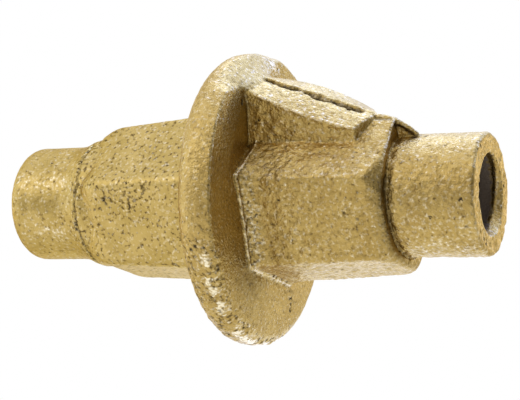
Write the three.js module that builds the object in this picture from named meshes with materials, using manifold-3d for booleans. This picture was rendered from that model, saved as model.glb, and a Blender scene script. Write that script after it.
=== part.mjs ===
// Water stop for a 15/17 mm formwork tie rod: a disc cast round a line of two threaded sleeves,
// with a hexagonal boss on each side of the disc and one gusset on top of the right boss.
// Units are millimetres. The rod axis is X, +Z is up, and the parting plane of the casting is Y = 0.
// Lengths along X are measured from the middle of the disc, and the whole group is then slid
// so that the origin is half way between the two ends.

import * as THREE from 'three';
import { ConvexGeometry } from 'three/addons/geometries/ConvexGeometry.js';
import { mergeVertices } from 'three/addons/utils/BufferGeometryUtils.js';
import Module from 'manifold-3d';

const wasm = await Module();
wasm.setup();

// ---------- driving dimensions ----------

const LEFT_END = -58.0;
const RIGHT_END = 54.2;

const DISC_RADIUS = 32.5;
const DISC_LEFT_FACE = -4.3;
const DISC_RIGHT_FACE = 4.4;
const DISC_LEFT_ROUNDING = 3.6;
const DISC_RIGHT_ROUNDING = 0.9;
const HUB_RADIUS = 21.5;
const HUB_FACE = -5.0;

const SLEEVE_RADIUS = 13.1;
const RIGHT_END_ROUNDING = 1.2;
const LEFT_END_ROUNDING = 3.4;

const WEB_HALF_THICKNESS = 5.5;

const THREAD_MINOR_RADIUS = 7.9;
const THREAD_MAJOR_RADIUS = 8.7;
const THREAD_PITCH = 10;
const MOUTH_RADIUS = 9.0;

// The bosses are hexagonal, taper away from the disc, and stand with one corner straight up.
const RIGHT_BOSS = { base: 19.9, taper: 0.0625, end: 35.5 };
const LEFT_BOSS = { base: 20.5, taper: 0.088, end: 38.3 };
const CHAMFER_RADIUS = 15.6;
const CHAMFER_SLOPE = 0.8;
const SHOULDER_START = 33.0;
const SHOULDER_OUTER_RADIUS = 17.8;
const SHOULDER_INNER_RADIUS = 13.9;

const GUSSET_HALF_WIDTH_AT_DISC = 7.6;
const GUSSET_HALF_WIDTH_AT_END = 6.9;
const GUSSET_CREST_AT_DISC = 27.6;
const GUSSET_EDGE_AT_DISC = 27.0;
const GUSSET_CREST_AT_END = 19.2;
const GUSSET_EDGE_AT_END = 17.3;
const GUSSET_END = 28.0;
const GUSSET_TIP = 31.0;
const GUSSET_TIP_HEIGHT = 17.9;

const FIT_GAP = 0.3;
const FACE_GAP = 0.05;

const ROUND_SEGMENTS = 48;
const DISC_SEGMENTS = 64;
const THREAD_SEGMENTS = 24;
const THREAD_STEPS_PER_TURN = 8;

// ---------- solids and booleans ----------

function toSolid(geometry) {
  const bare = geometry.clone();
  bare.deleteAttribute('normal');
  bare.deleteAttribute('uv');
  const merged = mergeVertices(bare, 1e-4);
  const mesh = new wasm.Mesh({
    numProp: 3,
    vertProperties: new Float32Array(merged.attributes.position.array),
    triVerts: new Uint32Array(merged.index.array),
  });
  mesh.merge();
  return new wasm.Manifold(mesh);
}

function toGeometry(solid) {
  const mesh = solid.getMesh();
  const geometry = new THREE.BufferGeometry();
  geometry.setAttribute('position', new THREE.BufferAttribute(new Float32Array(mesh.vertProperties), 3));
  geometry.setIndex(new THREE.BufferAttribute(new Uint32Array(mesh.triVerts), 1));
  geometry.computeVertexNormals();
  return geometry;
}

// Turns a solid about X. Each point is [radius, x], and the outline starts and ends on the axis.
function turned(points, segments = ROUND_SEGMENTS) {
  const outline = points.map(([radius, x]) => new THREE.Vector2(radius, x));
  const geometry = new THREE.LatheGeometry(outline, segments);
  geometry.rotateZ(-Math.PI / 2);
  return toSolid(geometry);
}

// Points of a quarter circle from one axis direction to the next, as [radius, x].
function roundedCorner(centreRadius, centreX, rounding, startAngle, endAngle, steps) {
  const points = [];
  for (let i = 0; i <= steps; i += 1) {
    const angle = startAngle + ((endAngle - startAngle) * i) / steps;
    points.push([centreRadius + rounding * Math.cos(angle), centreX + rounding * Math.sin(angle)]);
  }
  return points;
}

function cylinder(radius, fromX, toX, segments = ROUND_SEGMENTS) {
  return turned([[0, fromX], [radius, fromX], [radius, toX], [0, toX]], segments);
}

// ---------- threaded sleeves ----------

// The cutter of one socket: a cylinder whose radius follows a coarse right-hand rope thread.
function threadCutter(fromX, toX) {
  const length = toX - fromX;
  const steps = Math.round((length / THREAD_PITCH) * THREAD_STEPS_PER_TURN);
  const radius = THREAD_MINOR_RADIUS;
  const geometry = new THREE.CylinderGeometry(radius, radius, length, THREAD_SEGMENTS, steps);
  geometry.rotateZ(-Math.PI / 2);
  geometry.translate((fromX + toX) / 2, 0, 0);
  const position = geometry.attributes.position;
  for (let i = 0; i < position.count; i += 1) {
    const y = position.getY(i);
    const z = position.getZ(i);
    const angle = Math.atan2(z, y);
    const wave = Math.cos((2 * Math.PI * position.getX(i)) / THREAD_PITCH - angle);
    const groove = THREE.MathUtils.clamp(0.5 + 0.9 * wave, 0, 1);
    const scale = 1 + (groove * (THREAD_MAJOR_RADIUS - THREAD_MINOR_RADIUS)) / THREAD_MINOR_RADIUS;
    position.setY(i, y * scale);
    position.setZ(i, z * scale);
  }
  return toSolid(geometry);
}

// side is 1 for the right sleeve and -1 for the left one; end is the sleeve's outer end on X.
function threadedSleeve(side, end, rounding) {
  const inner = side * (WEB_HALF_THICKNESS + FACE_GAP);
  const arcCentre = end - side * rounding;
  const steps = 4;
  const corner = roundedCorner(SLEEVE_RADIUS - rounding, arcCentre, rounding, 0, (side * Math.PI) / 2, steps);
  const outline = [[0, inner], [SLEEVE_RADIUS, inner], ...corner, [0, end]];
  const blank = turned(side > 0 ? outline : outline.reverse());
  const beyond = end + side;
  const thread = threadCutter(Math.min(inner - side, beyond), Math.max(inner - side, beyond));
  const depth = MOUTH_RADIUS - THREAD_MINOR_RADIUS;
  const mouth = [[0, end - side * depth], [THREAD_MINOR_RADIUS, end - side * depth], [MOUTH_RADIUS, end]];
  mouth.push([MOUTH_RADIUS, beyond], [0, beyond]);
  const countersink = turned(side > 0 ? mouth : mouth.reverse());
  return blank.subtract(thread).subtract(countersink);
}

// ---------- disc and centre web ----------

// A low hub on the left carries the left boss, so the disc's left face is a clear ring.
function stopDisc() {
  const outline = [
    [0, HUB_FACE],
    [HUB_RADIUS, HUB_FACE],
    [HUB_RADIUS, DISC_LEFT_FACE],
    ...roundedCorner(
      DISC_RADIUS - DISC_LEFT_ROUNDING,
      DISC_LEFT_FACE + DISC_LEFT_ROUNDING,
      DISC_LEFT_ROUNDING,
      -Math.PI / 2,
      0,
      5,
    ),
    ...roundedCorner(
      DISC_RADIUS - DISC_RIGHT_ROUNDING,
      DISC_RIGHT_FACE - DISC_RIGHT_ROUNDING,
      DISC_RIGHT_ROUNDING,
      0,
      Math.PI / 2,
      2,
    ),
    [0, DISC_RIGHT_FACE],
  ];
  const hole = cylinder(SLEEVE_RADIUS + FIT_GAP, HUB_FACE - 1, DISC_RIGHT_FACE + 1);
  return turned(outline, DISC_SEGMENTS).subtract(hole);
}

function centreWeb() {
  return cylinder(SLEEVE_RADIUS, -WEB_HALF_THICKNESS, WEB_HALF_THICKNESS);
}

// ---------- hexagonal bosses ----------

// A six-sided taper round X between two stations, with a corner pointing up.
// boss.base is its corner radius at the middle of the disc.
function hexagonalTaper(boss, fromX, toX, extraRadius = 0) {
  const fromRadius = boss.base + extraRadius - boss.taper * Math.abs(fromX);
  const toRadius = boss.base + extraRadius - boss.taper * Math.abs(toX);
  const geometry = new THREE.CylinderGeometry(toRadius, fromRadius, toX - fromX, 6);
  geometry.rotateZ(-Math.PI / 2);
  geometry.translate((fromX + toX) / 2, 0, 0);
  return toSolid(geometry);
}

function rightBoss() {
  const face = DISC_RIGHT_FACE + FACE_GAP;
  const { base, end } = RIGHT_BOSS;
  const envelope = turned([
    [0, face],
    [base, face],
    [base, end - (base - CHAMFER_RADIUS) / CHAMFER_SLOPE],
    [CHAMFER_RADIUS, end],
    [0, end],
  ]);
  const hole = cylinder(SLEEVE_RADIUS + FIT_GAP, face - 1, end + 1);
  return hexagonalTaper(RIGHT_BOSS, face, end).intersect(envelope).subtract(hole);
}

function leftBoss() {
  const face = HUB_FACE - FACE_GAP;
  const { base, end } = LEFT_BOSS;
  const steps = 5;
  const shoulder = [];
  for (let i = 0; i <= steps; i += 1) {
    const angle = (Math.PI / 2) * (i / steps);
    shoulder.push([
      SHOULDER_INNER_RADIUS + (SHOULDER_OUTER_RADIUS - SHOULDER_INNER_RADIUS) * Math.sin(angle),
      -SHOULDER_START - (end - SHOULDER_START) * Math.cos(angle),
    ]);
  }
  const envelope = turned([[0, -end], ...shoulder, [base, face * 2], [base, face], [0, face]]);
  const hole = cylinder(SLEEVE_RADIUS + FIT_GAP, -end - 1, face + 1);
  return hexagonalTaper(LEFT_BOSS, -end, face).intersect(envelope).subtract(hole);
}

// ---------- gusset ----------

function topGusset() {
  const start = DISC_RIGHT_FACE + FACE_GAP;
  const foot = SLEEVE_RADIUS;
  const corners = [];
  for (const side of [-1, 1]) {
    corners.push(new THREE.Vector3(start, side * GUSSET_HALF_WIDTH_AT_DISC, foot));
    corners.push(new THREE.Vector3(start, side * GUSSET_HALF_WIDTH_AT_DISC, GUSSET_EDGE_AT_DISC));
    corners.push(new THREE.Vector3(GUSSET_END, side * GUSSET_HALF_WIDTH_AT_END, foot));
    corners.push(new THREE.Vector3(GUSSET_END, side * GUSSET_HALF_WIDTH_AT_END, GUSSET_EDGE_AT_END));
  }
  corners.push(new THREE.Vector3(start, 0, GUSSET_CREST_AT_DISC));
  corners.push(new THREE.Vector3(GUSSET_END, 0, GUSSET_CREST_AT_END));
  corners.push(new THREE.Vector3(GUSSET_TIP, 0, GUSSET_TIP_HEIGHT));
  const wedge = toSolid(new ConvexGeometry(corners));
  return wedge.subtract(hexagonalTaper(RIGHT_BOSS, 0, GUSSET_TIP + 1, FIT_GAP));
}

// ---------- assembly ----------

function castMetal(color, roughness) {
  return new THREE.MeshStandardMaterial({ color, roughness, metalness: 0.85 });
}

const roughSkin = castMetal(0xbf9f5c, 0.55);
const smoothSkin = castMetal(0xc9ab6a, 0.45);
const darkWeb = castMetal(0x6b5530, 0.7);

const pieces = [
  ['stop_disc', stopDisc(), roughSkin],
  ['centre_web', centreWeb(), darkWeb],
  ['left_threaded_sleeve', threadedSleeve(-1, LEFT_END, LEFT_END_ROUNDING), smoothSkin],
  ['right_threaded_sleeve', threadedSleeve(1, RIGHT_END, RIGHT_END_ROUNDING), roughSkin],
  ['left_hex_boss', leftBoss(), smoothSkin],
  ['right_hex_boss', rightBoss(), roughSkin],
  ['top_gusset', topGusset(), roughSkin],
];

const waterStop = new THREE.Group();
waterStop.position.x = -(LEFT_END + RIGHT_END) / 2;
for (const [name, solid, material] of pieces) {
  const mesh = new THREE.Mesh(toGeometry(solid), material);
  mesh.name = name;
  waterStop.add(mesh);
}

export default waterStop;
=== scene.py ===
"""The looks of the tie rod water stop: one cast skin for each CAD node, with fillets, seams, pits and grain.

Every shape is a field, a number for each point of space that is below zero inside the metal. The fields
work in millimetres, with X measured from the middle of the disc, Y = 0 the parting plane and +Z up.
"""

import math
from types import SimpleNamespace

import bpy
import numpy as np
from mathutils import Matrix, Vector


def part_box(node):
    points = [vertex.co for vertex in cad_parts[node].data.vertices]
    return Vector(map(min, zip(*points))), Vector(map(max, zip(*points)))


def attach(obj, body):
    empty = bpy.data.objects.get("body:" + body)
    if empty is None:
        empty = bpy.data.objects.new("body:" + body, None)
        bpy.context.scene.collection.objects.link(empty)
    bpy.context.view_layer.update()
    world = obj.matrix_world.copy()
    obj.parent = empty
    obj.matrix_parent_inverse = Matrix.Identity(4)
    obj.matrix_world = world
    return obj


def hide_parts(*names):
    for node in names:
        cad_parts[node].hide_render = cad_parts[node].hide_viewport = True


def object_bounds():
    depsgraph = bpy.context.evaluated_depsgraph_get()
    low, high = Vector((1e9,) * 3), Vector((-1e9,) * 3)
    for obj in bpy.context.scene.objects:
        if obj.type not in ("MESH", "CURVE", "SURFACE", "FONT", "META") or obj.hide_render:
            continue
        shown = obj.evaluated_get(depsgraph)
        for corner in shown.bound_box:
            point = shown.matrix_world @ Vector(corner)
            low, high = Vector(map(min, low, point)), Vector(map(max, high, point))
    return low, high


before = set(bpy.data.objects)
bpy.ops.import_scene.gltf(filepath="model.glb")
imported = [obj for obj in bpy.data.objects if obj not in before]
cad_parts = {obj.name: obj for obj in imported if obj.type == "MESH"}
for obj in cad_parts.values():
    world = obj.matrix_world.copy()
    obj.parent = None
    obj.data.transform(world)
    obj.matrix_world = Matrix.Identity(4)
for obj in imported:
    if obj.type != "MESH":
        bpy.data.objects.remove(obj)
cad_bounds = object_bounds()

# ---------- sizes, in millimetres ----------

MM = 0.001
COS30 = math.cos(math.radians(30))


def box_mm(node):
    """A CAD node's lowest and highest corners in millimetres."""
    low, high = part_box(node)
    return np.array(low) / MM, np.array(high) / MM


web_low, web_high = box_mm("centre_web")
_, disc_high = box_mm("stop_disc")
left_sleeve_low, _ = box_mm("left_threaded_sleeve")
_, right_sleeve_high = box_mm("right_threaded_sleeve")
left_boss_low, left_boss_high = box_mm("left_hex_boss")
right_boss_low, right_boss_high = box_mm("right_hex_boss")
gusset_low, _ = box_mm("top_gusset")

CAD_LOW, CAD_HIGH = np.array(cad_bounds) / MM
MIDDLE = (web_low[0] + web_high[0]) / 2
WEB_HALF = (web_high[0] - web_low[0]) / 2
LEFT_END = left_sleeve_low[0] - MIDDLE
RIGHT_END = right_sleeve_high[0] - MIDDLE
SLEEVE_RADIUS = right_sleeve_high[2]

# how far the skin stays inside the CAD's box
SKIN_MARGIN = 0.06

# a field's value anywhere deep in the metal
DEEP_INSIDE = -9.0

# a softened corner falls short of a sharp one, so each hexagon is drawn this much larger than the CAD's
RIGHT_CORNER_EXTRA = 0.15
LEFT_CORNER_EXTRA = 0.45

# the disc, its pocket above the right boss and its ramp beside the gusset
DISC_RADIUS = disc_high[2] - SKIN_MARGIN
DISC_RIGHT_FACE = disc_high[0] - MIDDLE
DISC_LEFT_FACE = -4.7
DISC_DRAFT = 0.12
DISC_DRAFT_FROM = 27.0
DISC_LEFT_ROUNDING = 3.7
DISC_RIGHT_ROUNDING = 1.0
DISC_ROUNDING_GROWTH = 0.085
DISC_ROUNDING_TOP = 9.0
DISC_ROUNDING_SPAN = 20.0
POCKET_DISH = 0.25
POCKET_RADIUS = 24.5
POCKET_BOTTOM = 10.0
POCKET_TOP = 16.0
RAMP_DROP = 4.4
RAMP_LENGTH = 4.6
RAMP_SHORTER_BEHIND = 1.4
RAMP_CHANGE_HALF = 4.0
RAMP_END = 14.8
RAMP_END_DROP = 0.85
RAMP_CURVE = 1.6
RAMP_STEEPNESS = 0.7
RAMP_SOFTNESS = 0.15

# the right boss, its chamfered end and its flared foot with the bead round it
RIGHT_BOSS_SHORTER = 0.1
RIGHT_BOSS_START = right_boss_low[0] - MIDDLE
RIGHT_BOSS_END = right_boss_high[0] - MIDDLE - RIGHT_BOSS_SHORTER
RIGHT_BOSS_CORNER = right_boss_high[2] + RIGHT_CORNER_EXTRA
RIGHT_BOSS_TAPER = 0.0625
RIGHT_BOSS_SOFTNESS = 0.4
RIGHT_END_LEAN = 0.07
RIGHT_LEAN_TOP = 5.0
CHAMFER_RADIUS = 15.3
CHAMFER_SLOPE = 0.7
CHAMFER_GROWTH_BELOW = 0.06
CHAMFER_SOFTNESS = 1.3
CHAMFER_CRISPER_ABOVE = 0.9
CHAMFER_SOFT_TOP = 6.0
CHAMFER_CRISP_FROM = 10.0
END_ROUNDING = 0.6
END_ROUNDING_BELOW = 0.04
RIDGE_RISE = 1.8
RIDGE_EDGE = 6.0
RIDGE_CORE = 1.5
FOOT_SIDE = 22.3
FOOT_ROOF_ABOVE = 22.1
FOOT_ROOF_FALL = 0.6
FOOT_ROOF_FALL_FROM = 11.0
FOOT_ROOF_BELOW = 20.5
FOOT_FLARE_START = 0.6
FOOT_FLARE_LENGTH = 4.6
FOOT_FLARE_CURVE = 1.7
FOOT_SOFTNESS = 0.7
BEAD_RADIUS = 0.38
BEAD_RISE = 0.15

# the left boss, its rounded shoulder and the flare of the collar beyond it
LEFT_BOSS_END = left_boss_low[0] - MIDDLE
LEFT_BOSS_CORNER = left_boss_high[2] + LEFT_CORNER_EXTRA
LEFT_BOSS_TAPER = 0.087
LEFT_BOSS_SOFTNESS = 1.5
LESS_TAPER = 0.05
LESS_TAPER_START = -20
LESS_TAPER_LENGTH = 12
LESS_TAPER_TOP = 5.0
LESS_TAPER_FULL = -12.0
SHOULDER_START = -30.5
SHOULDER_LENGTH = 7.4
SHOULDER_HEIGHT = 3.8
SHOULDER_BULGE = 1.75
FLARE_LENGTH = 5.6
FLARE_HEIGHT = 1.7

# the two collars
COLLAR_ROOT = 36.7
COLLAR_SWELL = 0.04
ROOT_GROOVE = 0.2
ROOT_GROOVE_LENGTH = 1.3
END_LEAN = 0.010
RIGHT_END_ROUNDING = 0.7
LEFT_END_ROUNDING = 3.8

# the flash fin
FIN_START = 30.5
FIN_END = 39.7
FIN_HEIGHT = 18.35
FIN_FALL = 0.052
FIN_STEEPNESS = 0.85
FIN_BOTTOM = 12
FIN_HALF_THICKNESS = 0.25
FIN_LIP_RADIUS = 0.6

# the gusset; NEAR_EDGE and FAR_EDGE are a start height, a fall and a curl
GUSSET_START = gusset_low[0] - MIDDLE
GUSSET_END = 28.0
GUSSET_END_LEAN = 3.0
GUSSET_END_STEEPNESS = 0.85
GUSSET_END_ROUNDING = 0.25
GUSSET_HALF_WIDTH = 7.65
GUSSET_SIDE_DRAFT = 0.03
GUSSET_CREST_HEIGHT = 27.8
GUSSET_CREST_FALL = 0.365
GUSSET_TOP_CURVE = 1.5
GUSSET_TOP_STEEPNESS = 0.93
GUSSET_EDGE_ROUNDING = 0.3
NEAR_EDGE = (27.0, 0.60, 0.0075)
FAR_EDGE = (25.7, 0.035, -0.0130)
PARTING_STEP = 0.35
PARTING_STEP_START = -0.2
PARTING_STEP_END = 0.3
LIP_RADIUS = 0.40
LIP_INSET = 0.25
LIP_SINK = 0.12
LIP_RUN_IN = 4.0
RIB_SIDE_FILLET = 0.2
RIB_TOP_FILLET = 2.4
TOP_FILLET_START = 25.5
TOP_FILLET_FULL = 27.5
FOOT_FILLET = 0.15
LEFT_BOSS_FILLET = 0.8

# the sockets
THREAD_MINOR_RADIUS = 7.9
THREAD_MAJOR_RADIUS = 8.7
THREAD_PITCH = 10.0
THREAD_FLANK = 0.9
MOUTH_RADIUS = 8.9
COUNTERSINK_SLOPE = 0.5

# how neighbouring skins meet: a gap inside the metal, an overlap under the skin
HIDDEN_GAP = 0.15
SEAM_OVERLAP = 0.6
SEAM_SINK = 0.03
SEAM_FADE_START = -1.3
SEAM_FADE_END = -0.6

# the sampling grid
CELL = 0.35
GRID_MARGIN = 3


# ---------- shaping fields ----------


def smooth_step(value, start, end):
    """Rises from 0 to 1 as value goes from start to end."""
    share = np.clip((value - start) / (end - start), 0, 1)
    return share * share * (3 - 2 * share)


def smooth_max(a, b, width):
    """The larger of two fields, with the edge where they meet softened over a width."""
    overlap = np.maximum(width - np.abs(a - b), 0)
    return np.maximum(a, b) + overlap * overlap / (4 * width)


def round_corner(a, b, radius):
    """Inside both fields, with the outer corner between them rounded to a radius."""
    beyond = np.hypot(np.maximum(a + radius, 0), np.maximum(b + radius, 0))
    return np.minimum(np.maximum(a, b), -radius) + beyond


def fillet(a, b, radius):
    """Inside either field, with the inner corner between them filled to a radius."""
    within = np.hypot(np.maximum(radius - a, 0), np.maximum(radius - b, 0))
    return np.maximum(np.minimum(a, b), radius) - within


def hexagon(y, z, roof_corner, side_corner, softness):
    """A hexagonal bar that stands on one corner, with its own size for the sloping and the upright flats."""
    slope = COS30 * np.abs(z)
    roof = smooth_max(slope + 0.5 * y, slope - 0.5 * y, softness) - roof_corner * COS30
    return smooth_max(roof, np.abs(y) - side_corner * COS30, softness)


def disc(x, y, z):
    """The disc, with a well rounded edge on the left and a sloping ramp beside the gusset on the right."""
    radius = np.hypot(y, z)
    draft = DISC_DRAFT * (DISC_DRAFT_FROM - radius)
    rim = round_corner(radius - DISC_RADIUS, DISC_LEFT_FACE - x - draft, DISC_LEFT_ROUNDING)
    in_pocket = smooth_step(z, POCKET_BOTTOM, POCKET_TOP)
    pocket = POCKET_DISH * np.maximum(POCKET_RADIUS - radius, 0) * in_pocket
    growth = DISC_ROUNDING_GROWTH * np.clip(DISC_ROUNDING_TOP - z, 0, DISC_ROUNDING_SPAN)
    rim = round_corner(rim, x - DISC_RIGHT_FACE - draft + pocket, DISC_RIGHT_ROUNDING + growth)
    share = np.clip((RAMP_END - np.abs(y)) / (RAMP_END - GUSSET_HALF_WIDTH), 0, 1)
    drop = RAMP_END_DROP + (RAMP_DROP - RAMP_END_DROP) * share
    behind = smooth_step(y, -RAMP_CHANGE_HALF, RAMP_CHANGE_HALF)
    length = RAMP_LENGTH - RAMP_SHORTER_BEHIND * behind
    down = drop * np.clip((x - DISC_RIGHT_FACE) / length + 1, 0, 2) ** RAMP_CURVE
    ramp = (radius - DISC_RADIUS + down) * RAMP_STEEPNESS
    return smooth_max(rim, np.where(z > 0, ramp, DEEP_INSIDE), RAMP_SOFTNESS)


def foot_roof(z):
    """The corner radius of the foot's sloping flats: less below, and down to the boss itself by the rib."""
    above = FOOT_ROOF_ABOVE - FOOT_ROOF_FALL * np.maximum(z - FOOT_ROOF_FALL_FROM, 0)
    return np.where(z > 0, np.maximum(above, RIGHT_BOSS_CORNER), FOOT_ROOF_BELOW)


def right_boss_sides(x, y, z):
    """Tapered flats that flare out at the foot."""
    out = x - RIGHT_BOSS_START
    corner = RIGHT_BOSS_CORNER - RIGHT_BOSS_TAPER * out
    flare = np.clip(1 - (out - FOOT_FLARE_START) / FOOT_FLARE_LENGTH, 0, 1) ** FOOT_FLARE_CURVE
    roof_corner = corner + flare * (foot_roof(z) - RIGHT_BOSS_CORNER)
    side_corner = corner + flare * (FOOT_SIDE - RIGHT_BOSS_CORNER)
    return hexagon(y, z, roof_corner, side_corner, RIGHT_BOSS_SOFTNESS)


def past_boss_end(x, z):
    """How far beyond the right boss's end, which leans back from the bottom to a little above the middle."""
    return x - RIGHT_BOSS_END + RIGHT_END_LEAN * np.minimum(z, RIGHT_LEAN_TOP)


def right_boss(x, y, z):
    """The right boss, with a conical chamfer at its end that stands clear of the ridge under the fin."""
    below = np.maximum(-z, 0)
    end = past_boss_end(x, z)
    on_ridge = smooth_step(np.abs(y), RIDGE_EDGE, RIDGE_CORE) * (z > 0)
    cone = np.hypot(y, z) - CHAMFER_RADIUS - RIDGE_RISE * on_ridge - CHAMFER_GROWTH_BELOW * below
    chamfer = (cone + CHAMFER_SLOPE * end) / math.hypot(1, CHAMFER_SLOPE)
    crisp = smooth_step(z, CHAMFER_SOFT_TOP, CHAMFER_CRISP_FROM)
    softness = CHAMFER_SOFTNESS - CHAMFER_CRISPER_ABOVE * crisp
    sides = smooth_max(right_boss_sides(x, y, z), chamfer, softness)
    return round_corner(sides, end, END_ROUNDING * softness + END_ROUNDING_BELOW * below)


def left_boss(x, y, z):
    """Tapered flats, rounded off towards the collar by an elliptical shoulder."""
    beyond = np.clip(LESS_TAPER_START - x, 0, LESS_TAPER_LENGTH)
    less_taper_below = LESS_TAPER * beyond * smooth_step(z, LESS_TAPER_TOP, LESS_TAPER_FULL)
    corner = LEFT_BOSS_CORNER + LEFT_BOSS_TAPER * (x - DISC_LEFT_FACE) + less_taper_below
    sides = hexagon(y, z, corner, corner, LEFT_BOSS_SOFTNESS)
    along = np.maximum(SHOULDER_START - x, 0) / SHOULDER_LENGTH
    across = np.maximum(1 + sides / SHOULDER_HEIGHT, 0)
    shoulder = (along**SHOULDER_BULGE + across**SHOULDER_BULGE) ** (1 / SHOULDER_BULGE)
    return np.maximum((shoulder - 1) * SHOULDER_HEIGHT, LEFT_BOSS_END - x)


def collars(x, y, z):
    """The round bar from end to end, with its flare on the left and its shallow root groove on the right."""
    flare = np.clip(1 - (LEFT_BOSS_END - x) / FLARE_LENGTH, 0, 1) * (x < 0)
    root = np.clip((COLLAR_ROOT - x) / ROOT_GROOVE_LENGTH, 0, 1) * (x > 0)
    lean = END_LEAN * (z + SLEEVE_RADIUS)
    side = SLEEVE_RADIUS + COLLAR_SWELL + FLARE_HEIGHT * flare**2 - ROOT_GROOVE * root
    right_end = x - RIGHT_END + SKIN_MARGIN + lean
    bar = round_corner(np.hypot(y, z) - side, right_end, RIGHT_END_ROUNDING)
    return round_corner(bar, LEFT_END + SKIN_MARGIN + lean - x, LEFT_END_ROUNDING)


def gusset_crest(x):
    """The height of the gusset's top along the parting plane."""
    return GUSSET_CREST_HEIGHT - GUSSET_CREST_FALL * (x - GUSSET_START)


def edge_height(edge, out):
    """The height of one edge of the gusset's top, given as its start, its fall and its curl."""
    start, fall, curl = edge
    return start - fall * out + curl * out**2


def gusset(x, y, z):
    """Drafted sides, a raised near edge and a top that is higher beyond the parting line than before it."""
    out = x - GUSSET_START
    half_width = GUSSET_HALF_WIDTH - GUSSET_SIDE_DRAFT * out
    near_edge = edge_height(NEAR_EDGE, out)
    edge = np.where(y < 0, near_edge, edge_height(FAR_EDGE, out))
    share = np.clip(np.abs(y) / half_width, 0, 1)
    height = gusset_crest(x) + (edge - gusset_crest(x)) * share**GUSSET_TOP_CURVE
    beyond_parting = smooth_step(y, PARTING_STEP_START, PARTING_STEP_END)
    step = PARTING_STEP * beyond_parting * (1 - share)
    top = (z - height - step) * GUSSET_TOP_STEEPNESS
    from_lip = np.hypot(y + half_width - LIP_INSET, z - near_edge + LIP_SINK)
    lip = from_lip - LIP_RADIUS * smooth_step(out, 0.0, LIP_RUN_IN)
    body = np.minimum(round_corner(np.abs(y) - half_width, top, GUSSET_EDGE_ROUNDING), lip)
    end = x - GUSSET_END - GUSSET_END_LEAN * (1 - share)
    return np.maximum(round_corner(body, end * GUSSET_END_STEEPNESS, GUSSET_END_ROUNDING), -x)


def base_bead(x, y, z):
    """The thin raised line round the foot of the right boss."""
    outline = hexagon(y, z, foot_roof(z), FOOT_SIDE, FOOT_SOFTNESS)
    face = DISC_RIGHT_FACE + DISC_DRAFT * (DISC_DRAFT_FROM - np.hypot(y, z))
    return np.hypot(outline, x - face - BEAD_RISE) - BEAD_RADIUS


def fin_top(x):
    """The height of the flash fin's upper edge."""
    return FIN_HEIGHT - FIN_FALL * (x - FIN_START) ** 2


def fin(x, y, z):
    """The flash left standing on the parting plane, from the boss's top ridge down to the collar."""
    above_top = FIN_STEEPNESS * (z - fin_top(x))
    lip = np.hypot(y, above_top + FIN_LIP_RADIUS) - FIN_LIP_RADIUS
    blade = np.maximum(np.maximum(np.abs(y) - FIN_HALF_THICKNESS, above_top), FIN_BOTTOM - z)
    return np.maximum(np.minimum(lip, blade), np.maximum(FIN_START - x, x - FIN_END))


def casting(x, y, z):
    """The whole outer surface."""
    core = collars(x, y, z)
    rib = np.maximum(gusset(x, y, z), -z)
    plate = disc(x, y, z)
    boss = fillet(right_boss(x, y, z), rib, RIB_SIDE_FILLET)
    near_top = smooth_step(z, TOP_FILLET_START, TOP_FILLET_FULL)
    foot = fillet(boss, plate, FOOT_FILLET + RIB_TOP_FILLET * near_top)
    foot = np.minimum(foot, base_bead(x, y, z))
    right = np.minimum(foot, core)
    left = fillet(np.minimum(left_boss(x, y, z), core), plate, LEFT_BOSS_FILLET)
    return np.minimum(np.where(x > 0, right, left), fin(x, y, z))


def sockets(x, y, z):
    """The space inside the two threaded sockets."""
    angle = np.arctan2(z, y)
    turn = 2 * math.pi * x / THREAD_PITCH - angle
    groove = np.clip(0.5 + THREAD_FLANK * np.cos(turn), 0, 1)
    thread = THREAD_MINOR_RADIUS + groove * (THREAD_MAJOR_RADIUS - THREAD_MINOR_RADIUS)
    from_end = np.minimum(RIGHT_END - x, x - LEFT_END)
    mouth = MOUTH_RADIUS - COUNTERSINK_SLOPE * np.maximum(from_end, 0)
    return np.maximum(np.hypot(y, z) - np.maximum(thread, mouth), WEB_HALF - np.abs(x))


# ---------- cast skin: grain, pits and grooves ----------

# half the size of the noise's lattice on each axis, in millimetres
LATTICE_HALF = (64, 36, 36)


def spline_weights(places, spacing, half_length):
    """The weight of every lattice value at every place, for a smooth cubic B-spline."""
    count = int(math.ceil(2 * half_length / spacing)) + 4
    steps = (places + half_length) / spacing + 1
    first = np.floor(steps).astype(int)
    t = steps - first
    weights = np.zeros((len(places), count), np.float32)
    rows = np.arange(len(places))
    pieces = ((1 - t) ** 3, 3 * t**3 - 6 * t**2 + 4, -3 * t**3 + 3 * t**2 + 3 * t + 1, t**3)
    for offset, piece in enumerate(pieces):
        weights[rows, first - 1 + offset] = piece / 6
    return weights


def noise(axes, spacing, seed):
    """Smooth seeded noise on a grid, the same at the same place in every piece, with a spread of 1."""
    along, across, up = [
        spline_weights(places, spacing, half) for places, half in zip(axes, LATTICE_HALF)
    ]
    shape = (along.shape[1], across.shape[1], up.shape[1])
    values = np.random.default_rng(seed).standard_normal(shape, dtype=np.float32)
    planes = np.tensordot(along, values, axes=(1, 0))
    rows = np.matmul(across, planes)
    return np.matmul(rows, up.T) * 3.0


def blob(x, y, z, centre, size):
    """1 at a centre, falling softly to 0 over a size given for each axis."""
    distance = ((x - centre[0]) / size[0]) ** 2 + ((y - centre[1]) / size[1]) ** 2
    return np.exp(-distance - ((z - centre[2]) / size[2]) ** 2)


def band(distance, width):
    """1 where a distance is nothing, falling softly to 0 over a width."""
    return np.exp(-((distance / width) ** 2))


# Each noise has its own spacing in millimetres and its own seed.
GRAIN_NOISE = (0.52, 1)
PEBBLE_NOISE = (1.3, 2)
SWELL_NOISE = (5.0, 3)
PIT_NOISE = (0.45, 4)
WANDER_NOISE = (2.2, 5)
SHIVER_NOISE = (0.8, 6)
TEETH_NOISE = (0.7, 7)
PATCH_NOISE = (1.1, 8)
MOUTH_NOISE = (0.7, 9)

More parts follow.
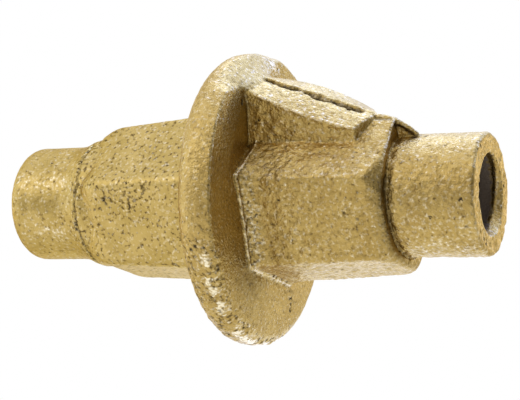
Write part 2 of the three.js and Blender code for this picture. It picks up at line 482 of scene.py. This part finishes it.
# Each blob has its centre and its size on each axis, in millimetres.
CLUSTER = ((-24.0, -15.6, 6.0), (6.0, 4.0, 3.6))
BASE_BAND = ((6.6, -17.5, -1.0), (2.0, 4.0, 10.0))
UNDER_BEAD = ((4.8, 0.0, -24.8), (2.0, 9.0, 3.8))
# the next two blobs place painted shade beside the rib and beside the foot
SHADE_BESIDE_RIB = ((4.6, -12.0, 24.0), (3.0, 8.0, 7.0))
SHADE_BESIDE_FOOT = ((4.7, -19.0, -11.0), (3.0, 7.5, 9.0))
# a painted highlight on the ramp beyond the gusset
HIGHLIGHT_ON_FAR_RAMP = ((4.2, 10.5, 27.8), (2.0, 3.4, 2.6))


def skin_zones(x, y, z):
    """Where each kind of skin lies on the casting, each zone from 0 to 1, and the radius."""
    radius = np.hypot(y, z)
    front = smooth_step(y, 4.0, -4.0)
    return SimpleNamespace(
        radius=radius,
        front=front,
        front_low=smooth_step(z, 10.0, -4.0) * front,
        right=smooth_step(x, 4.5, 6.0),
        left=smooth_step(x, -4.5, -7.0),
        left_collar=smooth_step(x, -37.5, -41.0),
        rim=smooth_step(radius, 29.5, 31.0) * (np.abs(x) < 6),
        rib_top=(z > gusset_crest(x) - 3.5) * (np.abs(y) < 9) * (x > 3),
        crevice=band(x - LEFT_BOSS_END, 1.5),
        cluster=blob(x, y, z, *CLUSTER),
        base_band=blob(x, y, z, *BASE_BAND),
        socket=radius < MOUTH_RADIUS + 0.3,
    )


def cast_grain(axes, zone, shaded_bore):
    """The fine roughness of the sand mould, coarser on the right and on the lower rim, less in the bores."""
    on_rim = zone.rim * (0.010 + 0.05 * zone.front_low)
    height = 0.018 + 0.054 * zone.right * (1 - 0.75 * zone.rib_top) + on_rim
    height = height * (1 - 0.8 * shaded_bore)
    fine = noise(axes, *GRAIN_NOISE) + 0.4 * noise(axes, *PEBBLE_NOISE)
    return height * fine + 0.02 * noise(axes, *SWELL_NOISE)


def pinholes(axes, x, y, z, zone):
    """Small pits, rare on open skin and crowded where the photograph shows them."""
    under_bead = band(y, 0.9) * blob(x, y, z, *UNDER_BEAD)
    crowding = 1.2 * zone.crevice + 1.6 * zone.cluster + 1.3 * zone.base_band + 3.6 * under_bead
    crowding = crowding + 0.9 * zone.rim * zone.front_low
    return smooth_step(noise(axes, *PIT_NOISE) + crowding, 2.7, 3.4)


def torn_lines(axes, x, y, z, zone):
    """The groove and its teeth along the gusset's crest, cut in and painted dark as the shade in them, the
    line on the ridge by the fin, the painted shade under the fin's lip, and the left boss's seam.
    """
    wander = 0.20 * noise(axes, *WANDER_NOISE) + 0.12 * noise(axes, *SHIVER_NOISE)
    crest = smooth_step(x, 5.8, 6.4) * smooth_step(x, 28.3, 27.6) * (z > 16)
    unbroken = 1 - 0.8 * band(x - 14.4, 0.7)
    # the groove and its teeth are cut into the skin; their darkness in the marks below is painted shade
    groove = band(y - 0.1 - wander, 0.6) * crest * unbroken
    tooth = smooth_step(noise(axes, *TEETH_NOISE), 0.6, 1.6)
    teeth = band(y + 0.75 - wander, 0.6) * crest * tooth
    ridge_line = band(y + 0.85, 0.3) * smooth_step(x, 29.5, 31.0) * (z > 14) * (x < 34.5)
    seam = band(x - LEFT_BOSS_END - 0.8 * wander, 0.3) * (zone.radius > 12)
    # painted shade under the fin's lip: it darkens and cuts nothing
    shade_under_fin_lip = band(fin_top(x) - z - 1.2, 0.6) * smooth_step(x, 34.3, 35.3)
    shade_under_fin_lip = shade_under_fin_lip * (np.abs(y) < 1.5) * (x < FIN_END)
    return groove, teeth, ridge_line, seam, shade_under_fin_lip


def painted_shade(x, y, z, zone):
    """Painted shade where little light comes: at the right boss's end, beside the rib and the foot, and a
    band on the right collar's middle.
    """
    past_end = past_boss_end(x, z)
    below_edge = smooth_step(z, 9.5, 7.0)
    root_gap = smooth_step(past_end, -0.6, 0.0) * smooth_step(x, COLLAR_ROOT + 0.1, COLLAR_ROOT - 0.7)
    boss_edge = smooth_step(past_end, -3.6, -0.6) * smooth_step(past_end, 0.6, 0.0) * zone.front
    edge_shade = 0.3 * boss_edge * below_edge * smooth_step(z, -16.0, 2.0)
    collar_middle = smooth_step(x, 37.5, 38.5) * zone.front * band(z - 3.5, 4.0) * (zone.radius > 12)
    shade = root_gap * (0.10 + 0.25 * below_edge) + edge_shade
    shade = shade + 0.12 * collar_middle
    beside = 0.5 * blob(x, y, z, *SHADE_BESIDE_RIB) + 0.42 * blob(x, y, z, *SHADE_BESIDE_FOOT)
    return shade + (x < 5.5) * (zone.radius < 29.5) * beside


def speck_share(x, zone):
    """How readily the material shows small brown specks."""
    by_disc = smooth_step(x, -13.0, -6.0)
    on_left = 0.40 + 0.5 * zone.cluster + 0.4 * zone.crevice + 0.2 * by_disc - 0.30 * zone.left_collar
    specks = zone.left * on_left + 0.75 * zone.base_band
    return specks + 0.7 * zone.rim * zone.front_low + 0.08 * zone.right * zone.front


def painted_highlight_share(axes, x, y, z, zone, from_end):
    """Where painted highlights go: pale streaks on the lower rim and the left collar, pale flecks on the
    right's front, most on its collar and round the foot, a pale spot on the far ramp and a paler socket
    mouth.
    """
    patches = smooth_step(noise(axes, *PATCH_NOISE), -0.1, 0.7)
    rim_streak = band(x - 1.7, 1.3) * smooth_step(z, 4.0, -5.0) * patches
    on_collar = smooth_step(x, 36.5, 37.5) * smooth_step(z, 2.0, -4.0)
    on_right = 0.02 + 0.14 * on_collar + 0.32 * zone.base_band
    painted_highlights = zone.right * zone.front * (1 - zone.rib_top) * on_right
    collar_streaks = band(z - 8.5, 1.3) + band(z + 2.8, 1.5)
    painted_highlights = painted_highlights + 0.4 * zone.left_collar * zone.front * collar_streaks * patches
    painted_highlights = painted_highlights + 0.12 * zone.socket * smooth_step(from_end, 2.3, 1.9)
    return painted_highlights + zone.rim * zone.front * rim_streak + 0.55 * blob(x, y, z, *HIGHLIGHT_ON_FAR_RAMP)


def relief(axes, x, y, z):
    """How deep the skin lies below the smooth casting, and the maps that colour it, each from 0 to 1."""
    zone = skin_zones(x, y, z)
    from_end = np.minimum(RIGHT_END - x, x - LEFT_END) + 0.25 * noise(axes, *MOUTH_NOISE)
    # painted shade deep in the sockets, past the countersunk mouth
    shaded_bore = zone.socket * smooth_step(from_end, 2.1, 2.5)
    depth = cast_grain(axes, zone, shaded_bore)
    pits = pinholes(axes, x, y, z, zone)
    groove, teeth, ridge_line, seam, shade_under_fin_lip = torn_lines(axes, x, y, z, zone)
    marks = (
        # the mark, its depth in millimetres, how dark it is
        (pits, 0.34, 1.0),
        # the groove's and the teeth's darkness is painted shade
        (groove, 1.5, 1.5),
        (teeth, 0.5, 0.9),
        (ridge_line, 0.25, 0.6),
        (seam, 0.5, 0.5),
        # painted shade under the fin's lip, which cuts nothing
        (shade_under_fin_lip, 0.0, 0.9),
        # painted shade: it only darkens and cuts nothing
        (painted_shade(x, y, z, zone), 0.0, 1.0),
    )
    # the darkness sums the real pits and lines with the painted shade
    marks_and_shade = 0.0
    for mark, cut, darkness in marks:
        depth = depth + cut * mark
        marks_and_shade = marks_and_shade + darkness * mark
    maps = {
        "marks_and_shade": marks_and_shade,
        "bore_shade": shaded_bore,
        "specks": speck_share(x, zone),
        "painted_highlights": painted_highlight_share(axes, x, y, z, zone, from_end),
    }
    for label, value in maps.items():
        maps[label] = np.clip(np.broadcast_to(value, depth.shape), 0, 1)
    return depth, maps


# ---------- from a field to a mesh ----------

GRAIN_SHARPNESS = 1.2


def sample_axes(low, high):
    """Sample places on one grid that all pieces share, so that their skins meet exactly."""
    axes = []
    for start, end in zip(low, high):
        first = math.floor(start / CELL) - GRID_MARGIN
        last = math.ceil(end / CELL) + GRID_MARGIN
        axes.append((np.arange(first, last + 1) * CELL).astype(np.float32))
    return axes


def surface_net(field):
    """The zero surface: a point in every cell that it crosses and a quad round every edge that it crosses."""
    spots, owners, rings = [], [], []
    for axis in range(3):
        here = field[tuple(slice(0, -1) if i == axis else slice(None) for i in range(3))]
        ahead = field[tuple(slice(1, None) if i == axis else slice(None) for i in range(3))]
        edges = np.argwhere((here < 0) != (ahead < 0))
        start = here[tuple(edges.T)]
        end = ahead[tuple(edges.T)]
        spot = edges.astype(float)
        spot[:, axis] += start / (start - end)
        across, over = (axis + 1) % 3, (axis + 2) % 3
        corners = []
        for step_across, step_over in ((-1, -1), (0, -1), (0, 0), (-1, 0)):
            owner = edges.copy()
            owner[:, across] += step_across
            owner[:, over] += step_over
            corners.append(np.ravel_multi_index(tuple(owner.T), field.shape))
            spots.append(spot)
            owners.append(corners[-1])
        ring = np.stack(corners, axis=1)
        ring[start > 0] = ring[start > 0, ::-1]
        rings.append(ring)
    cells, index = np.unique(np.concatenate(owners), return_inverse=True)
    spots = np.concatenate(spots)
    counts = np.bincount(index)
    points = np.stack([np.bincount(index, spots[:, i]) / counts for i in range(3)], axis=1)
    quads = np.searchsorted(cells, np.concatenate(rings))
    return points, quads


def at_points(values, points):
    """The grid value nearest to each point, in grid steps."""
    return values[tuple(np.rint(points).astype(int).T)]


def sharpness(field):
    """How convex the field is: above zero on outer edges, below zero in creases, in 1/mm."""
    total = np.zeros_like(field)
    for axis in range(3):
        middle = tuple(slice(1, -1) for i in range(3))
        before = tuple(slice(0, -2) if i == axis else slice(1, -1) for i in range(3))
        after = tuple(slice(2, None) if i == axis else slice(1, -1) for i in range(3))
        total[middle] += field[before] + field[after] - 2 * field[middle]
    return total / CELL**2


def build_piece(name, low, high, domain, hollow, material):
    """One node's skin: the casting in the node's domain, which runs a little under its neighbours' skin."""
    axes = sample_axes(low, high)
    x = axes[0][:, None, None]
    y = axes[1][None, :, None]
    z = axes[2][None, None, :]
    depth, maps = relief(axes, x, y, z)
    smooth = casting(x, y, z)
    skin = smooth + depth
    outside = domain(x, y, z)
    near_skin = smooth_step(skin, SEAM_FADE_START, SEAM_FADE_END)
    reach = (SEAM_OVERLAP + HIDDEN_GAP) * near_skin - HIDDEN_GAP
    field = np.maximum(skin + SEAM_SINK * (outside > 0), outside - reach)
    field = np.maximum(field, hollow(x, y, z))
    field = np.pad(field[1:-1, 1:-1, 1:-1], 1, constant_values=1.0)
    points, quads = surface_net(field)
    places = points * CELL + np.array([axis[0] for axis in axes])
    places[:, 0] += MIDDLE
    places = np.clip(places, CAD_LOW + SKIN_MARGIN / 3, CAD_HIGH - SKIN_MARGIN / 3)
    mesh = bpy.data.meshes.new(name)
    mesh.from_pydata(places * MM, [], quads)
    mesh.polygons.foreach_set("use_smooth", np.ones(len(quads), bool))
    grain_sharpness = np.clip(sharpness(depth), -GRAIN_SHARPNESS, GRAIN_SHARPNESS)
    maps["sharp"] = sharpness(smooth) + grain_sharpness
    for label, values in maps.items():
        attribute = mesh.attributes.new(label, "FLOAT", "POINT")
        attribute.data.foreach_set("value", at_points(values, points).astype(np.float32))
    mesh.materials.append(material)
    mesh.update()
    piece = bpy.data.objects.new(name, mesh)
    bpy.context.scene.collection.objects.link(piece)
    return piece


# ---------- which space belongs to which node ----------

FOOT_REACH = 0.9
RIB_REACH = 0.8
HUB_HEIGHT = 0.3
HUB_RADIUS = 24
GUSSET_REACH = 33
ROOT_CLEARANCE = 0.7
WEB_CLEARANCE = 0.1


def right_of_disc(x, y, z):
    """The space of the right boss and the gusset, a little wider than the foot that they share."""
    foot = hexagon(y, z, foot_roof(z) + FOOT_REACH, FOOT_SIDE + FOOT_REACH, FOOT_SOFTNESS)
    rib_band = np.maximum(np.abs(y) - GUSSET_HALF_WIDTH - RIB_REACH, -z)
    return np.maximum(DISC_RIGHT_FACE - x, np.minimum(foot, rib_band))


def left_of_disc(x, y, z):
    """The space of the left boss, which stands on a low round hub of the disc."""
    return np.maximum(x - DISC_LEFT_FACE + HUB_HEIGHT, np.hypot(y, z) - HUB_RADIUS)


def gusset_domain(x, y, z):
    """The space above the boss's flats, as wide as the rib."""
    above_boss = np.maximum(-right_boss_sides(x, y, z), -z)
    rib_band = np.maximum(np.abs(y) - GUSSET_HALF_WIDTH - RIB_REACH, x - GUSSET_REACH)
    return np.maximum(np.maximum(above_boss, rib_band), DISC_RIGHT_FACE - x)


def disc_domain(x, y, z):
    """All that is left between the two bosses' spaces."""
    return np.maximum(-right_of_disc(x, y, z), -left_of_disc(x, y, z))


def right_boss_domain(x, y, z):
    """Right of the disc, less the gusset's space and the sleeve's."""
    beside_gusset = np.maximum(right_of_disc(x, y, z), -gusset_domain(x, y, z))
    return np.maximum(beside_gusset, -right_sleeve_domain(x, y, z))


def left_boss_domain(x, y, z):
    """Left of the disc, less the sleeve's space."""
    return np.maximum(left_of_disc(x, y, z), -left_sleeve_domain(x, y, z))


def right_sleeve_domain(x, y, z):
    """The bar inside the boss, and everything beyond the boss's end."""
    return np.minimum(np.hypot(y, z) - SLEEVE_RADIUS, ROOT_CLEARANCE - past_boss_end(x, z))


def left_sleeve_domain(x, y, z):
    """The bar inside the boss, and everything beyond the boss's end."""
    return np.minimum(np.hypot(y, z) - SLEEVE_RADIUS, x - LEFT_BOSS_END)


def sleeve_bore(x, y, z):
    """The hole that a sleeve fills."""
    return SLEEVE_RADIUS + HIDDEN_GAP - np.hypot(y, z)


def right_socket(x, y, z):
    """The right socket and all that lies left of its bottom."""
    return np.maximum(-sockets(x, y, z), WEB_HALF - x)


def left_socket(x, y, z):
    """The left socket and all that lies right of its bottom."""
    return np.maximum(-sockets(x, y, z), WEB_HALF + x)


def web_domain(x, y, z):
    """The closed wall between the two sockets."""
    inside_sleeve = np.hypot(y, z) - SLEEVE_RADIUS + WEB_CLEARANCE
    return np.maximum(np.abs(x) - WEB_HALF, inside_sleeve) + SEAM_OVERLAP


def solid(x, y, z):
    """No hollow at all."""
    return DEEP_INSIDE


# ---------- materials ----------


def new_material(name):
    """A material with its nodes and links."""
    material = bpy.data.materials.new(name)
    material.use_nodes = True
    return material, material.node_tree.nodes, material.node_tree.links


def noise_texture(nodes, links, place, wavelength, detail):
    """A cloudy texture whose features are about one wavelength, in millimetres, apart."""
    texture = nodes.new("ShaderNodeTexNoise")
    texture.inputs["Scale"].default_value = 1 / (wavelength * MM)
    texture.inputs["Detail"].default_value = detail
    links.new(place, texture.inputs["Vector"])
    return texture.outputs["Fac"]


def ramp(nodes, links, value, stops):
    """Turns a value into a colour through a few (position, colour) stops."""
    node = nodes.new("ShaderNodeValToRGB")
    elements = node.color_ramp.elements
    elements[0].position, elements[0].color = stops[0][0], (*stops[0][1], 1)
    elements[1].position, elements[1].color = stops[-1][0], (*stops[-1][1], 1)
    for position, color in stops[1:-1]:
        elements.new(position).color = (*color, 1)
    links.new(value, node.inputs["Fac"])
    return node.outputs["Color"]


def remap(nodes, links, value, from_low, from_high, to_low, to_high):
    """Moves a value from one range to another, and holds it at the ends."""
    node = nodes.new("ShaderNodeMapRange")
    node.inputs["From Min"].default_value = from_low
    node.inputs["From Max"].default_value = from_high
    node.inputs["To Min"].default_value = to_low
    node.inputs["To Max"].default_value = to_high
    links.new(value, node.inputs["Value"])
    return node.outputs["Result"]


def mix_color(nodes, links, factor, first, second):
    """Mixes two colours. Each is a node's output or a plain (r, g, b)."""
    node = nodes.new("ShaderNodeMix")
    node.data_type = "RGBA"
    links.new(factor, node.inputs["Factor"])
    for socket, color in ((node.inputs[6], first), (node.inputs[7], second)):
        if isinstance(color, tuple):
            socket.default_value = (*color, 1)
        else:
            links.new(color, socket)
    return node.outputs[2]


def vertex_map(nodes, label):
    """A map that the mesh carries at its points."""
    node = nodes.new("ShaderNodeAttribute")
    node.attribute_name = label
    return node.outputs["Fac"]


def add_up(nodes, links, first, share, second):
    """first + share * second"""
    node = nodes.new("ShaderNodeMath")
    node.operation = "MULTIPLY_ADD"
    links.new(second, node.inputs[0])
    node.inputs[1].default_value = share
    links.new(first, node.inputs[2])
    return node.outputs["Value"]


MOTTLE_BROWN = (0.20, 0.125, 0.035)
SPECK_BROWN = (0.08, 0.05, 0.018)
WORN_AND_LIT_GOLD = (0.86, 0.74, 0.50)
CREASE_SHADE_BROWN = (0.11, 0.066, 0.018)
PAINTED_HIGHLIGHT_GOLD = (0.97, 0.87, 0.62)
PIT_AND_SHADE_BROWN = (0.058, 0.043, 0.026)
BORE_SHADE_GREY = (0.17, 0.135, 0.105)


def cast_gold(name, deep, pale, edge_tint, roughness, speckle, bump_height):
    """Gold-coated cast iron: mottled gold, brown in its pits, with painted shade in creases and dim places,
    painted highlights, paler convex edges from wear and painted highlight together, and painted shade in the
    bores.
    """
    material, nodes, links = new_material(name)
    shader = nodes["Principled BSDF"]
    place = nodes.new("ShaderNodeTexCoord").outputs["Object"]
    clouds = noise_texture(nodes, links, place, 5.0, 3.0)
    mottle = noise_texture(nodes, links, place, 0.9, 4.0)
    grain = noise_texture(nodes, links, place, 0.5, 3.0)
    glitter = noise_texture(nodes, links, place, 0.7, 1.0)

    gold = ramp(nodes, links, clouds, ((0.35, deep), (0.65, pale)))
    shade = remap(nodes, links, mottle, 0.52, 0.72, 0.0, speckle)
    gold = mix_color(nodes, links, shade, gold, MOTTLE_BROWN)
    specked = add_up(nodes, links, mottle, 0.2, vertex_map(nodes, "specks"))
    speck = remap(nodes, links, specked, 0.66, 0.76, 0.0, 0.7)
    gold = mix_color(nodes, links, speck, gold, SPECK_BROWN)
    sharp = vertex_map(nodes, "sharp")
    # convex edges and bumps paler: part wear, part painted highlight
    wear_and_highlight = remap(nodes, links, sharp, 1.9, 3.2, 0.0, 0.55)
    gold = mix_color(nodes, links, wear_and_highlight, gold, WORN_AND_LIT_GOLD)
    # painted shade: brown in concave creases
    crease_shade = remap(nodes, links, sharp, -0.5, -2.2, 0.0, 0.45)
    gold = mix_color(nodes, links, crease_shade, gold, CREASE_SHADE_BROWN)
    # painted highlights: pale gold where the map and the glitter noise are high
    glittered = add_up(nodes, links, glitter, 0.4, vertex_map(nodes, "painted_highlights"))
    glint_stops = ((0.55, (0, 0, 0)), (0.72, (0.3, 0.3, 0.3)), (0.9, (1, 1, 1)))
    glint = ramp(nodes, links, glittered, glint_stops)
    gold = mix_color(nodes, links, glint, gold, PAINTED_HIGHLIGHT_GOLD)
    # brown for the pits and lines, and painted shade where the shade marks lie
    gold = mix_color(nodes, links, vertex_map(nodes, "marks_and_shade"), gold, PIT_AND_SHADE_BROWN)
    # painted shade in the bores: grey, not metal and rougher
    bore_shade = vertex_map(nodes, "bore_shade")
    gold = mix_color(nodes, links, bore_shade, gold, BORE_SHADE_GREY)
    links.new(gold, shader.inputs["Base Color"])

    links.new(remap(nodes, links, bore_shade, 0.0, 1.0, 1.0, 0.0), shader.inputs["Metallic"])
    shader.inputs["Specular Tint"].default_value = (*edge_tint, 1)
    rough = remap(nodes, links, mottle, 0.3, 0.75, roughness - 0.07, roughness + 0.12)
    links.new(add_up(nodes, links, rough, 0.5, bore_shade), shader.inputs["Roughness"])
    bump = nodes.new("ShaderNodeBump")
    bump.inputs["Strength"].default_value = 1.0
    bump.inputs["Distance"].default_value = bump_height * MM
    links.new(grain, bump.inputs["Height"])
    links.new(bump.outputs["Normal"], shader.inputs["Normal"])
    return material


def socket_shade_iron(name):
    """The bottom of a socket, which light hardly reaches, painted dark and dull as its shade."""
    material, nodes, links = new_material(name)
    shader = nodes["Principled BSDF"]
    place = nodes.new("ShaderNodeTexCoord").outputs["Object"]
    clouds = noise_texture(nodes, links, place, 3.0, 4.0)
    stops = ((0.35, (0.05, 0.035, 0.025)), (0.7, (0.13, 0.09, 0.045)))
    color = ramp(nodes, links, clouds, stops)
    links.new(color, shader.inputs["Base Color"])
    shader.inputs["Metallic"].default_value = 0.6
    shader.inputs["Roughness"].default_value = 0.75
    return material


def rough_gold_casting():
    """The right half and the disc, as the sand left them."""
    return cast_gold(
        "rough_gold",
        deep=(0.45, 0.305, 0.09),
        pale=(0.54, 0.38, 0.122),
        edge_tint=(0.9, 0.8, 0.6),
        roughness=0.32,
        speckle=0.6,
        bump_height=0.2,
    )


def smooth_gold_casting():
    """The left half: smoother and a little paler, with pinholes."""
    return cast_gold(
        "smooth_gold",
        deep=(0.475, 0.335, 0.097),
        pale=(0.555, 0.40, 0.13),
        edge_tint=(0.75, 0.62, 0.4),
        roughness=0.36,
        speckle=0.65,
        bump_height=0.05,
    )


rough_gold = rough_gold_casting()
smooth_gold = smooth_gold_casting()
# the bottom of the sockets, painted dark as shade
dark_gold = socket_shade_iron("dark_gold")

# ---------- pieces ----------

DISC_SPAN = 7.6
DISC_HALF = 33
BAR_HALF = 13.8
BOSS_HALF = 25.0
LEFT_SLEEVE_HALF = 16
LEFT_BOSS_STOP = -4
RIGHT_BOSS_STOP = 37.5
RIGHT_SLEEVE_BOX = ((WEB_HALF, -17, -19), (RIGHT_END, 17, 19))
GUSSET_BOX = ((DISC_RIGHT_FACE - 1, -10, 10), (34, 10, 32))


def around_bar(start, end, half):
    """The lowest and highest corner of a square stretch round the middle line."""
    return (start, -half, -half), (end, half, half)


PIECES = (
    # the skin, the node it replaces, the box it is made in, its domain, its hollow, material and slot
    ("disc_skin", "stop_disc", *around_bar(-DISC_SPAN, DISC_SPAN, DISC_HALF),
     disc_domain, sleeve_bore, rough_gold, "rough_gold_casting"),
    ("web_skin", "centre_web", *around_bar(-WEB_HALF - 1, WEB_HALF + 1, BAR_HALF),
     web_domain, solid, dark_gold, "dark_bore_casting"),
    ("left_sleeve_skin", "left_threaded_sleeve", *around_bar(LEFT_END, -WEB_HALF, LEFT_SLEEVE_HALF),
     left_sleeve_domain, left_socket, smooth_gold, "smooth_gold_casting"),
    ("right_sleeve_skin", "right_threaded_sleeve", *RIGHT_SLEEVE_BOX,
     right_sleeve_domain, right_socket, rough_gold, "rough_gold_casting"),
    ("left_boss_skin", "left_hex_boss", *around_bar(LEFT_BOSS_END - 1, LEFT_BOSS_STOP, BOSS_HALF),
     left_boss_domain, sleeve_bore, smooth_gold, "smooth_gold_casting"),
    ("right_boss_skin", "right_hex_boss", *around_bar(DISC_RIGHT_FACE - 1, RIGHT_BOSS_STOP, BOSS_HALF),
     right_boss_domain, sleeve_bore, rough_gold, "rough_gold_casting"),
    ("gusset_skin", "top_gusset", *GUSSET_BOX,
     gusset_domain, solid, rough_gold, "rough_gold_casting"),
)

for name, node, low, high, domain, hollow, material, slot in PIECES:
    piece = build_piece(name, low, high, domain, hollow, material)
    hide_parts(node)
    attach(piece, "root")

# ---------- floor, light and camera ----------

FLOOR_DROP = 60.0
FLOOR_SIZE = 6
POOL_CORE = 0.43
POOL_SQUEEZE = 0.6
AZIMUTH = math.radians(25.22)
ELEVATION = math.radians(15.23)
ROLL = math.radians(-8.33)
DISTANCE = 344.88
LENS = 106.81
SENSOR_WIDTH = 36
SIDE_SHIFT = 0.84
UP_SHIFT = -0.13

POOLS = (
    # the middle and the edge's radius, in metres on a floor squeezed along X, and the colour
    ((-0.012, 0.06, 0), 0.07, (1.6, 1.9, 3.2)),
    ((-0.10, -0.15, 0), 0.05, (1.3, 1.3, 1.4)),
    ((0.08, 0.31, 0), 0.11, (2.4, 2.3, 2.1)),
)

CARDS = (
    # where the card stands, the nearness to it at the card's edge and where it is full, the colour
    ((1, 0, 0), 0.2, 0.9, (0.6, 0.6, 0.6)),
    ((-1, 0, 0), 0.6, 0.95, (1.3, 1.4, 1.7)),
    ((-0.5, -0.36, 0.78), 0.86, 0.96, (1.6, 1.6, 1.7)),
    ((-0.35, 0.25, 0.9), 0.80, 0.96, (1.15, 1.2, 1.45)),
    ((0.15, 0.85, 0.47), 0.80, 0.90, (1.65, 2.15, 4.6)),
    ((0.8, -0.4, 0.45), 0.75, 0.93, (0.22, 0.22, 0.22)),
    ((-0.27, -0.91, 0.29), 0.945, 0.99, (0.20, 0.19, 0.16)),
)


def white_for_camera(nodes, links, studio_color, output):
    """Plain white where the camera looks straight at it, and the studio's light everywhere else."""
    rays = nodes.new("ShaderNodeLightPath")
    color = mix_color(nodes, links, rays.outputs["Is Camera Ray"], studio_color, (1.0, 1.0, 1.0))
    on_surface = output.name == "Material Output"
    glow = nodes.new("ShaderNodeEmission" if on_surface else "ShaderNodeBackground")
    links.new(color, glow.inputs["Color"])
    links.new(glow.outputs[0], output.inputs["Surface"])


def add_pool(nodes, links, place, studio, centre, edge, color):
    """A bright round spot on the floor: full inside its core, fading out from there to its edge."""
    distance = nodes.new("ShaderNodeVectorMath")
    distance.operation = "DISTANCE"
    distance.inputs[1].default_value = centre
    links.new(place, distance.inputs[0])
    pool = remap(nodes, links, distance.outputs["Value"], edge, edge * POOL_CORE, 0.0, 1.0)
    return mix_color(nodes, links, pool, studio, color)


def add_floor():
    """A glowing floor: white, half as bright to the right, brighter far to the left and in three pools."""
    bpy.ops.mesh.primitive_plane_add(size=FLOOR_SIZE)
    floor = bpy.context.object
    floor.name = "floor"
    floor.location.z = cad_bounds[0][2] - FLOOR_DROP * MM
    material, nodes, links = new_material("pale_floor")
    nodes.remove(nodes["Principled BSDF"])
    place = nodes.new("ShaderNodeTexCoord").outputs["Object"]
    split = nodes.new("ShaderNodeSeparateXYZ")
    links.new(place, split.inputs["Vector"])
    fade = remap(nodes, links, split.outputs["X"], 0.06, 0.30, 0.0, 1.0)
    studio = mix_color(nodes, links, fade, (1.0, 1.0, 1.0), (0.55, 0.55, 0.55))
    behind = remap(nodes, links, split.outputs["Y"], 0.20, 0.30, 0.0, 1.0)
    studio = mix_color(nodes, links, behind, studio, (1.0, 1.0, 1.0))
    far_left = remap(nodes, links, split.outputs["X"], -0.28, -0.50, 0.0, 1.0)
    studio = mix_color(nodes, links, far_left, studio, (1.4, 1.4, 1.5))
    squeezed = nodes.new("ShaderNodeVectorMath")
    squeezed.operation = "MULTIPLY"
    squeezed.inputs[1].default_value = (POOL_SQUEEZE, 1, 1)
    links.new(place, squeezed.inputs[0])
    along = squeezed.outputs["Vector"]
    for centre, edge, color in POOLS:
        studio = add_pool(nodes, links, along, studio, centre, edge, color)
    white_for_camera(nodes, links, studio, nodes["Material Output"])
    floor.data.materials.append(material)


def towards(nodes, links, direction, aim):
    """How nearly a world direction points at an aim, from -1 to 1."""
    node = nodes.new("ShaderNodeVectorMath")
    node.operation = "DOT_PRODUCT"
    node.inputs[1].default_value = Vector(aim).normalized()
    links.new(direction, node.inputs[0])
    return node.outputs["Value"]


def add_world():
    """A white studio with soft-edged cards: grey on the right and by the camera, bright elsewhere."""
    world = bpy.data.worlds.new("studio")
    world.use_nodes = True
    nodes, links = world.node_tree.nodes, world.node_tree.links
    nodes.remove(nodes["Background"])
    direction = nodes.new("ShaderNodeTexCoord").outputs["Generated"]
    color = (0.98, 0.98, 1.0)
    for aim, edge, full, card_color in CARDS:
        nearness = towards(nodes, links, direction, aim)
        card = remap(nodes, links, nearness, edge, full, 0, 1)
        color = mix_color(nodes, links, card, color, card_color)
    white_for_camera(nodes, links, color, nodes["World Output"])
    bpy.context.scene.world = world


def add_softbox(name, place, size, radiance, color):
    """A square soft light that faces the object, with its radiance given as the brightest channel's."""
    light = bpy.data.lights.new(name, "AREA")
    light.shape = "SQUARE"
    light.size = size * MM
    light.energy = radiance * math.pi * (size * MM) ** 2
    light.color = color
    softbox = bpy.data.objects.new(name, light)
    softbox.location = Vector(place) * MM
    softbox.rotation_euler = (-Vector(place)).to_track_quat("-Z", "Y").to_euler()
    softbox.visible_camera = False
    bpy.context.scene.collection.objects.link(softbox)


def add_camera():
    """The camera of the photograph: its direction, its roll round that direction and its distance."""
    back = Vector((
        math.sin(AZIMUTH) * math.cos(ELEVATION),
        -math.cos(AZIMUTH) * math.cos(ELEVATION),
        math.sin(ELEVATION),
    ))
    level = Vector((0, 0, 1)).cross(back).normalized()
    upright = back.cross(level)
    right = level * math.cos(ROLL) + upright * math.sin(ROLL)
    up = upright * math.cos(ROLL) - level * math.sin(ROLL)
    place = right * SIDE_SHIFT + up * UP_SHIFT + back * DISTANCE + Vector((MIDDLE, 0, 0))
    data = bpy.data.cameras.new("camera")
    data.sensor_width = SENSOR_WIDTH
    data.lens = LENS
    camera = bpy.data.objects.new("camera", data)
    bpy.context.scene.collection.objects.link(camera)
    turn = Matrix((right, up, back)).transposed().to_4x4()
    camera.matrix_world = Matrix.Translation(place * MM) @ turn
    bpy.context.scene.camera = camera


add_floor()
add_world()
add_softbox("top_softbox", place=(-70, 235, 250), size=230, radiance=3.2, color=(0.33, 0.44, 1.0))
add_camera()
bpy.context.scene.view_settings.view_transform = "Standard"
